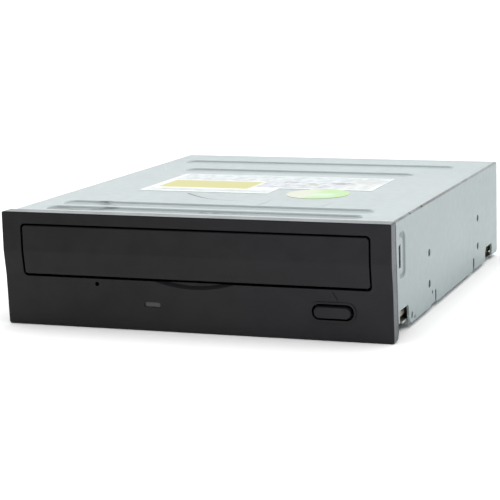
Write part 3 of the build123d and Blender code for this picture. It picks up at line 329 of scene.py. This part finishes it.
col = top.mix(top.math("MULTIPLY", m, 0.85), col, (0.06, 0.07, 0.065))
m = top.math("MULTIPLY", top.stroke_mask((-1.0, -78.3), (10.0, -78.4), 0.9, soft=0.1), top.ramp(top.noise(420.0, 3.0), 0.40, 0.56))
col = top.mix(top.math("MULTIPLY", m, 0.85), col, (0.05, 0.055, 0.05))
# darker, noise-broken patches over the left part of the front beads
m = top.math("MULTIPLY", top.box_mask(-60.0, -36.0, -74.6, -66.2, 2.0), top.ramp(top.noise(330.0, 3.0, vec=top.scaled(0.35, 1.0, 1.0)), 0.44, 0.60))
col = top.mix(top.math("MULTIPLY", top.math("MULTIPLY", m, 0.80), on_top), col, (0.10, 0.125, 0.12))
m = top.math("MULTIPLY", top.box_mask(-52.0, -36.0, -62.0, -52.6, 2.0), top.ramp(top.noise(330.0, 3.0, vec=top.scaled(0.5, 1.0, 1.0)), 0.46, 0.62))
col = top.mix(top.math("MULTIPLY", top.math("MULTIPLY", m, 0.70), on_top), col, (0.12, 0.145, 0.14))
# a faint rub on the right side
m = top.stroke_mask((32.7, 23.2), (40.9, 24.4), 0.6, u=top.y, v=top.z, soft=0.2)
col = top.mix(top.math("MULTIPLY", top.math("MULTIPLY", m, on_side), 0.22), col, (0.22, 0.26, 0.26))
# painted dark reflection along the long bends of the cover, broken by noise and stronger towards the front
bend = top.math("MULTIPLY", top.ramp(top.math("ABSOLUTE", top.x), 0.07215, 0.07245), top.ramp(top.z, 0.04085, 0.04110))
bend_breakup = top.ramp(top.noise(1.0, 3.0, vec=top.scaled(300, 110, 300)), 0.32, 0.62, 0.60, 1.0)
col = top.mix(top.math("MULTIPLY", top.math("MULTIPLY", bend, bend_breakup), top.ramp(top.y, -0.02, 0.085, 0.95, 0.60)), col, (0.135, 0.14, 0.135))
top.color(col)
use("top_cover", top)
bottom = steel("bottom_steel", (0.50, 0.545, 0.545), 0.42, metal=0.8)
use("bottom_cover", bottom)
inner_steel = steel("inner_steel", (0.52, 0.53, 0.52), 0.38)
for n in ("clamp_bridge", "traverse_base"):
    use(n, inner_steel)
can = steel("motor_can", (0.50, 0.49, 0.46), 0.30, grain=(300, 300, 4000))
for n in ("loading_motor", "sled_motor", "spindle_rotor"):
    use(n, can)
ground = steel("ground_steel", (0.62, 0.62, 0.62), 0.16, 0.03, grain=(300, 9000, 300), spangle=500)
for n in ("guide_rods", "lead_screw", "motor_shaft"):
    use(n, ground)
screw = steel("screw_steel", (0.42, 0.41, 0.39), 0.30, 0.08, grain=(800, 800, 800))
for n in ("cover_screws", "board_screws", "bridge_screws", "damper_screws", "motor_screws"):
    use(n, screw)

use("bezel", bezel_mat)
use("tray_door", door_mat)
use("eject_button", button_mat)
for n in ("loader_frame",):
    use(n, frame_mat)
use("disc_tray", tray_mat)
use("traverse_frame", traverse_mat)
for n in ("turntable", "clamper"):
    use(n, turn_mat)
for n in ("tray_drive_gear", "pulley_gear", "motor_pulley", "cam_slider", "pickup_rack", "eject_switch_plunger"):
    use(n, acetal_mat)
for n in ("flat_cable_sockets", "power_connector"):
    use(n, cream_mat)
use("main_chips", chip_mat)
for n in ("data_connector", "audio_connector", "jumper_base", "jumper_cap", "eject_switch"):
    use(n, conn_mat)
for n in ("rubber_dampers", "turntable_ring", "drive_belt"):
    use(n, rubber_mat)

brass = steel("pin_plating", (0.72, 0.55, 0.25), 0.25, 0.05, grain=(400, 3000, 400))
for n in ("data_pins", "jumper_pins"):
    use(n, brass)
tin = steel("tinned", (0.66, 0.66, 0.63), 0.28, 0.05, grain=(400, 3000, 400))
for n in ("power_pins", "audio_pins"):
    use(n, tin)
magnet = steel("magnet", (0.10, 0.10, 0.105), 0.5, 0.1)
for n in ("rotor_magnet", "clamper_magnet"):
    use(n, magnet)
nickel = steel("nickel", (0.45, 0.44, 0.42), 0.3, 0.04)
use("actuator_magnets", nickel)
cast = steel("die_cast", (0.42, 0.42, 0.43), 0.5, 0.10, grain=(700, 700, 700), spangle=900)
use("optical_pickup", cast)
stator = steel("stator", (0.30, 0.20, 0.12), 0.42, 0.15, grain=(900, 900, 6000))
use("spindle_motor", stator)
alu = steel("capacitor_can", (0.62, 0.62, 0.64), 0.25, 0.03, grain=(300, 300, 5000))
use("capacitors", alu)
holder = plastic("lens_plastic", (0.015, 0.015, 0.016), 0.4, 3000.0, 0.000008, 0.0)
use("lens_holder", holder)

lens = Shader("lens_glass", (0.75, 0.80, 0.95), 0.03, 0.0, 0.5, 1.55)
lens.b.inputs["Transmission Weight"].default_value = 0.85
lens.b.inputs["Coat Weight"].default_value = 0.6
lens.b.inputs["Coat Roughness"].default_value = 0.02
lens.b.inputs["Coat Tint"].default_value = (0.55, 0.45, 0.95, 1)
lens.color(lens.mix(lens.noise(400.0), (0.70, 0.76, 0.95), (0.80, 0.84, 0.98)))
use("objective_lens", lens)

pipe = Shader("light_pipe", (0.05, 0.05, 0.05), 0.22)
pipe.b.inputs["Transmission Weight"].default_value = 0.3
pipe.color(pipe.mix(pipe.noise(500.0), (0.052, 0.051, 0.052), (0.074, 0.073, 0.075)))
pipe.bump(pipe.noise(2600.0, 2.0), 0.2, 0.00001)
use("led_light_pipe", pipe)
led = Shader("led_body", (0.60, 0.68, 0.50), 0.12)
led.b.inputs["Transmission Weight"].default_value = 0.5
led.color(led.mix(led.noise(600.0), (0.55, 0.64, 0.45), (0.66, 0.74, 0.55)))
use("status_led", led)


def board(name, mask_col, under, edge_col, track_col, hole_scale):
    """Printed circuit board: solder mask over tracks, with pads and a bare edge."""
    s = Shader(name, mask_col, 0.30)
    vec = s.scaled(1, 1, 0.02)
    cells = s.voronoi(260.0, "F1", vec=vec, rand=0.2)
    tr = s.ramp(s.noise(180.0, 1.0, vec=s.scaled(1, 4.0, 0.02)), 0.49, 0.52)
    tr2 = s.ramp(s.noise(170.0, 1.0, vec=s.scaled(4.0, 1, 0.02)), 0.52, 0.55)
    tracks = s.math("MAXIMUM", tr, tr2)
    c = s.mix(s.math("MULTIPLY", tracks, 0.8), mask_col, track_col)
    v = s.voronoi(hole_scale, "F1", vec=vec, rand=0.55)
    pad = s.ramp(v.outputs["Distance"], 0.13, 0.16, 1, 0)
    c = s.mix(pad, c, (0.62, 0.60, 0.55))
    g = s.nt.nodes.new("ShaderNodeNewGeometry")
    sp = s.nt.nodes.new("ShaderNodeSeparateXYZ")
    s.nt.links.new(g.outputs["Normal"], sp.inputs[0])
    side = s.ramp(s.math("ABSOLUTE", sp.outputs[2]), 0.3, 0.7, 1, 0)
    fib = s.noise(1.0, 3.0, vec=s.scaled(300, 300, 9000))
    e = s.mix(fib, tuple(k * 0.85 for k in edge_col), tuple(min(1, k * 1.1) for k in edge_col))
    c = s.mix(side, c, e)
    s.color(c)
    s.rough(s.ramp(side, 0, 1, 0.30, 0.62))
    s.bump(s.math("MULTIPLY", tracks, 1.0), 0.4, 0.00003)
    return s


main_pcb = board("main_board_mask", (0.012, 0.105, 0.045), None, (0.33, 0.40, 0.24), (0.03, 0.20, 0.085), 190.0)
use("main_board", main_pcb)
front_pcb = board("front_board_paper", (0.36, 0.28, 0.17), None, (0.46, 0.41, 0.31), (0.45, 0.36, 0.22), 210.0)
use("front_board", front_pcb)

ffc = Shader("flat_cable", (0.70, 0.70, 0.68), 0.35)
stripe = ffc.ramp(ffc.math("FRACT", ffc.math("MULTIPLY", ffc.x, 1000.0)), 0.35, 0.45)
ffc.color(ffc.mix(stripe, (0.78, 0.78, 0.76), (0.46, 0.45, 0.42)))
ffc.bump(stripe, 0.4, 0.00003)
use("front_flat_cable", ffc)
fpc = Shader("film_cable", (0.55, 0.27, 0.05), 0.30)
stripe = fpc.ramp(fpc.math("FRACT", fpc.math("MULTIPLY", fpc.x, 1250.0)), 0.35, 0.45)
fpc.color(fpc.mix(stripe, (0.62, 0.30, 0.05), (0.36, 0.16, 0.03)))
use("pickup_flat_cable", fpc)

# ------------------------------------------------------------------ labels
def paper(name, base, rough=0.35):
    s = Shader(name, base, rough, 0.0, 0.18)
    return s


lab = paper("label_film", (0.63, 0.68, 0.67))
c = lab.mix(lab.noise(60.0, 3.0), (0.66, 0.71, 0.70), (0.71, 0.76, 0.75))
soft = lab.ramp(lab.noise(240.0, 3.0), 0.35, 0.65)


def field(c, x0, x1, y0, y1, tint, amount=1.0, soft_edge=0.3, mottled=False):
    m = lab.math("MULTIPLY", lab.box_mask(x0, x1, y0, y1, soft_edge), amount)
    if mottled:
        m = lab.math("MULTIPLY", m, lab.ramp(soft, 0, 1, 0.45, 1.0))
    return lab.mix(m, c, tint)


# plain fields of colour: a pale violet ground, the yellow panel, a few dull patches
c = field(c, -45.5, 6.0, -23.2, -16.6, (0.48, 0.52, 0.52), 1.0, 0.4, True)
c = field(c, -40.0, 4.0, -20.6, -18.4, (0.42, 0.42, 0.43), 0.7, 0.5, True)
c = field(c, -45.5, 44.0, 6.0, 21.6, (0.40, 0.44, 0.465), 0.85, 0.6, True)
c = field(c, -4.8, 30.0, -9.5, 6.0, (0.365, 0.38, 0.425), 0.85, 0.8, True)
c = field(c, 30.0, 42.5, -9.0, 18.0, (0.46, 0.485, 0.47), 0.9, 0.8, True)
c = field(c, -44.2, -5.6, -14.4, 4.6, (0.478, 0.458, 0.160), 1.0, 1.0)
c = field(c, -40.0, -20.0, -4.0, 5.0, (0.49, 0.44, 0.17), 0.5, 2.5, True)
for fx0, fx1, fy0, fy1, tint, amount in ((2.6, 8.6, 4.0, 9.4, (0.28, 0.28, 0.31), 0.6), (13.0, 19.4, -2.0, 5.0, (0.33, 0.33, 0.26), 0.65),
                                         (19.0, 23.0, -8.0, -4.0, (0.30, 0.28, 0.37), 0.55), (22.4, 30.6, 2.6, 8.2, (0.19, 0.18, 0.22), 0.65),
                                         (30.0, 33.0, 4.4, 6.6, (0.18, 0.18, 0.21), 0.55), (-4.4, -1.0, -3.0, 4.0, (0.36, 0.36, 0.45), 0.5)):
    c = field(c, fx0, fx1, fy0, fy1, tint, amount, 0.5, True)
lab.color(c)
lab.bump(lab.noise(700.0, 2.0), 0.15, 0.00002)
use("rating_label", lab)

seal = paper("seal_film", (0.62, 0.74, 0.40))
f = seal.ramp(seal.math("ADD", seal.x, seal.math("MULTIPLY", seal.math("SUBTRACT", seal.noise(160.0, 3.0), 0.5), 0.010)), 0.0215, 0.0275)
c = seal.mix(f, (0.54, 0.57, 0.46), (0.38, 0.575, 0.27))
rimy = seal.ramp(seal.y, -0.0150, -0.0105)
c = seal.mix(seal.math("MULTIPLY", rimy, 0.7), c, (0.42, 0.54, 0.26))
# painted highlight: a lighter patch on the round label
painted_gleam = seal.math("MULTIPLY", seal.box_mask(24.0, 33.0, -27.5, -20.0, 2.2), 0.7)
c = seal.mix(painted_gleam, c, (0.53, 0.65, 0.56))
seal.color(c)
seal.bump(seal.noise(700.0, 2.0), 0.15, 0.00002)
use("round_label", seal)


# ------------------------------------------------------------------ added geometry
def new_mesh(name, bm, shader, body, smooth=False):
    me = bpy.data.meshes.new(name)
    bm.normal_update()
    bm.to_mesh(me)
    bm.free()
    if smooth:
        for p in me.polygons:
            p.use_smooth = True
    me.materials.append(shader.mat)
    o = bpy.data.objects.new(name, me)
    scene.collection.objects.link(o)
    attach(o, body)
    return o


def add_box(bm, x0, x1, y0, y1, z0, z1):
    vs = [bm.verts.new((x * MM, y * MM, z * MM)) for z in (z0, z1) for y in (y0, y1) for x in (x0, x1)]
    for q in ((0, 2, 3, 1), (4, 5, 7, 6), (0, 1, 5, 4), (2, 6, 7, 3), (0, 4, 6, 2), (1, 3, 7, 5)):
        bm.faces.new([vs[i] for i in q])


# chip leads round the packages on the main board
bm = bmesh.new()
for x0, x1, y0, y1, pitch in ((0, 20, 26, 46, 0.65), (26, 38, 28, 36, 1.0), (-40, -28, 26, 38, 0.8), (-4, 14, 56, 64, 1.27)):
    n = int((x1 - x0 - 1.6) / pitch)
    for i in range(n + 1):
        x = (x0 + x1) / 2 + (i - n / 2) * pitch
        for ya, s in ((y0, -1), (y1, 1)):
            add_box(bm, x - pitch * 0.2, x + pitch * 0.2, min(ya, ya + s * 1.1), max(ya, ya + s * 1.1), 5.02, 5.2)
leads = new_mesh("chip_leads", bm, tin, "drive_body")

# small surface mounted parts on both boards
bm = bmesh.new()
bm2 = bmesh.new()
taken = []


def free(x, y, r=2.2):
    return all(abs(x - a) > r or abs(y - b) > r for a, b in taken)


def smd(x, y, z, lx, ly, h):
    taken.append((x, y))
    add_box(bm, x - lx / 2, x + lx / 2, y - ly / 2, y + ly / 2, z, z + h)
    if lx > ly:
        for s in (-1, 1):
            add_box(bm2, x + s * lx / 2 - 0.25, x + s * lx / 2 + 0.25, y - ly / 2 - 0.03, y + ly / 2 + 0.03, z, z + h + 0.03)
    else:
        for s in (-1, 1):
            add_box(bm2, x - lx / 2 - 0.03, x + lx / 2 + 0.03, y + s * ly / 2 - 0.25, y + s * ly / 2 + 0.25, z, z + h + 0.03)


for _ in range(260):
    x, y = rng.uniform(-60, 60), rng.uniform(12, 74)
    blocked = any(a - 2.4 < x < b + 2.4 and c0 - 2.4 < y < d0 + 2.4 for a, b, c0, d0 in (
        (0, 20, 26, 46), (26, 38, 28, 36), (-40, -28, 26, 38), (-4, 14, 56, 64), (-34, -26, 50, 57), (38, 45, 56, 62), (-13.4, -1.6, 38, 44),
        (49, 58, 9, 14), (-66, -52, 14, 31), (50, 66, 14, 28), (-68, -56, 54, 76), (56, 68, 54, 76)))
    if blocked or not free(x, y):
        continue
    if rng.random() < 0.5:
        smd(x, y, 5.0, 2.0, 1.2, rng.choice((0.45, 0.6)))
    else:
        smd(x, y, 5.0, 1.2, 2.0, rng.choice((0.45, 0.6)))
for x, y in ((64.5, 63.5), (64.5, 66.5), (64.6, 69.8)):
    smd(x, y, 5.0, 1.2, 2.0, 0.6)
for x, y in ((40.0, -63.0), (44.0, -63.4), (47.2, -69.0), (60.0, -70.0), (66.5, -66.0), (66.5, -69.5), (68.0, -62.6)):
    smd(x, y, 6.8, 2.0, 1.2, 0.5)
# a few parts under the main board's rear right corner
for y in (73.9, 76.6):
    add_box(bm, 68.6, 70.5, y, y + 2.3, 1.7, 3.4)
smd_mat = plastic("smd_body", (0.30, 0.24, 0.17), 0.5, 2000.0, 0.00001, 0.0, 0.35)
new_mesh("small_parts", bm, smd_mat, "drive_body")
new_mesh("small_part_ends", bm2, tin, "drive_body")

# thread of the lead screw, a low rounded ridge
bm = bmesh.new()
cxs, czs, r0, r1, pitch = 33.0, 20.2, 1.46, 1.72, 3.0
y0, y1 = 5.0, 52.0
seg = 20
steps = int((y1 - y0) / pitch * seg)
prof = ((-0.45, r0 - 0.1), (-0.32, r0 + 0.03), (-0.12, r1), (0.12, r1), (0.32, r0 + 0.03), (0.45, r0 - 0.1))
rings = []
for i in range(steps + 1):
    a = 2 * math.pi * i / seg
    yc = y0 + pitch * i / seg
    rings.append([bm.verts.new(((cxs + r * math.cos(a)) * MM, (yc + d) * MM, (czs + r * math.sin(a)) * MM)) for d, r in prof])
for i in range(steps):
    for j in range(len(prof)):
        k = (j + 1) % len(prof)
        bm.faces.new((rings[i][j], rings[i][k], rings[i + 1][k], rings[i + 1][j]))
bm.faces.new(rings[0])
bm.faces.new(list(reversed(rings[-1])))
bmesh.ops.recalc_face_normals(bm, faces=bm.faces)
new_mesh("screw_thread", bm, ground, "lead_screw", True)

# ------------------------------------------------------------------ stage
me = bpy.data.meshes.new("floor")
bm = bmesh.new()
bmesh.ops.create_grid(bm, x_segments=1, y_segments=1, size=6.0)
bm.to_mesh(me)
bm.free()
floor = bpy.data.objects.new("floor", me)
scene.collection.objects.link(floor)
floor.location = (0, 0, -0.0002)
fm = Shader("floor_paper", (0.90, 0.90, 0.90), 0.9, 0.0, 0.0)
fm.color(fm.mix(fm.noise(30.0), (0.895, 0.895, 0.895), (0.905, 0.905, 0.905)))
floor.data.materials.append(fm.mat)

world = bpy.data.worlds.new("studio")
scene.world = world
world.use_nodes = True
wn = world.node_tree
wn.nodes.clear()
wo = wn.nodes.new("ShaderNodeOutputWorld")
bg = wn.nodes.new("ShaderNodeBackground")
tcw = wn.nodes.new("ShaderNodeTexCoord")
sw = wn.nodes.new("ShaderNodeSeparateXYZ")
wn.links.new(tcw.outputs["Generated"], sw.inputs[0])


def wramp(v, a, b, lo, hi):
    n = wn.nodes.new("ShaderNodeMapRange")
    n.interpolation_type = "SMOOTHSTEP"
    wn.links.new(v, n.inputs[0])
    for q, val in zip(n.inputs[1:5], (a, b, lo, hi)):
        q.default_value = val
    return n.outputs[0]


def wmath(op, a, b):
    n = wn.nodes.new("ShaderNodeMath")
    n.operation = op
    for v, q in ((a, n.inputs[0]), (b, n.inputs[1])):
        if isinstance(v, float):
            q.default_value = v
        else:
            wn.links.new(v, q)
    return n.outputs[0]


# bright low wall behind the object, dim ceiling, dark side behind the camera
back = wramp(sw.outputs[1], -0.25, 0.45, 0.0, 1.0)
level = wramp(sw.outputs[2], 0.30, 0.90, 1.22, 0.80)
strength = wmath("ADD", wmath("MULTIPLY", back, level), 0.09)
wn.links.new(strength, bg.inputs["Strength"])
bg.inputs["Color"].default_value = (1.0, 1.0, 1.0, 1)
wn.links.new(bg.outputs[0], wo.inputs[0])


def softbox(name, loc, target, sx, sy, power, color=(1, 1, 1)):
    d = bpy.data.lights.new(name, "AREA")
    d.shape = "RECTANGLE"
    d.size, d.size_y = sx, sy
    d.energy = power
    d.color = color
    o = bpy.data.objects.new(name, d)
    scene.collection.objects.link(o)
    o.location = loc
    o.rotation_euler = (Vector(target) - Vector(loc)).to_track_quat("-Z", "Y").to_euler()
    return o


sun = bpy.data.lights.new("key_overhead", "SUN")
sun.energy = 3.1
sun.angle = math.radians(75)
key = bpy.data.objects.new("key_overhead", sun)
scene.collection.objects.link(key)
key.location = (0, 0, 1)
key.rotation_euler = (Vector((-0.08, 0.20, -1.0))).to_track_quat("-Z", "Y").to_euler()
key.visible_glossy = False

# ------------------------------------------------------------------ camera
cam = bpy.data.cameras.new("camera")
cam.sensor_width = 36.0
cam.lens = 1569.23 * 36.0 / 500.0
cam.shift_x = (250.0 - 384.43) / 500.0
cam.shift_y = (195.31 - 250.0) / 500.0
cam.clip_start = 0.01
cam.clip_end = 50
co = bpy.data.objects.new("camera", cam)
scene.collection.objects.link(co)
right, up, fwd = ((0.959035, 0.282876, -0.015280), (-0.027811, 0.147691, 0.988642), (-0.281920, 0.947717, -0.149508))
co.matrix_world = Matrix(((right[0], up[0], -fwd[0], 0.221015), (right[1], up[1], -fwd[1], -0.586571), (right[2], up[2], -fwd[2], 0.131066), (0, 0, 0, 1)))
scene.camera = co
scene.view_settings.view_transform = "Standard"
scene.view_settings.look = "None"
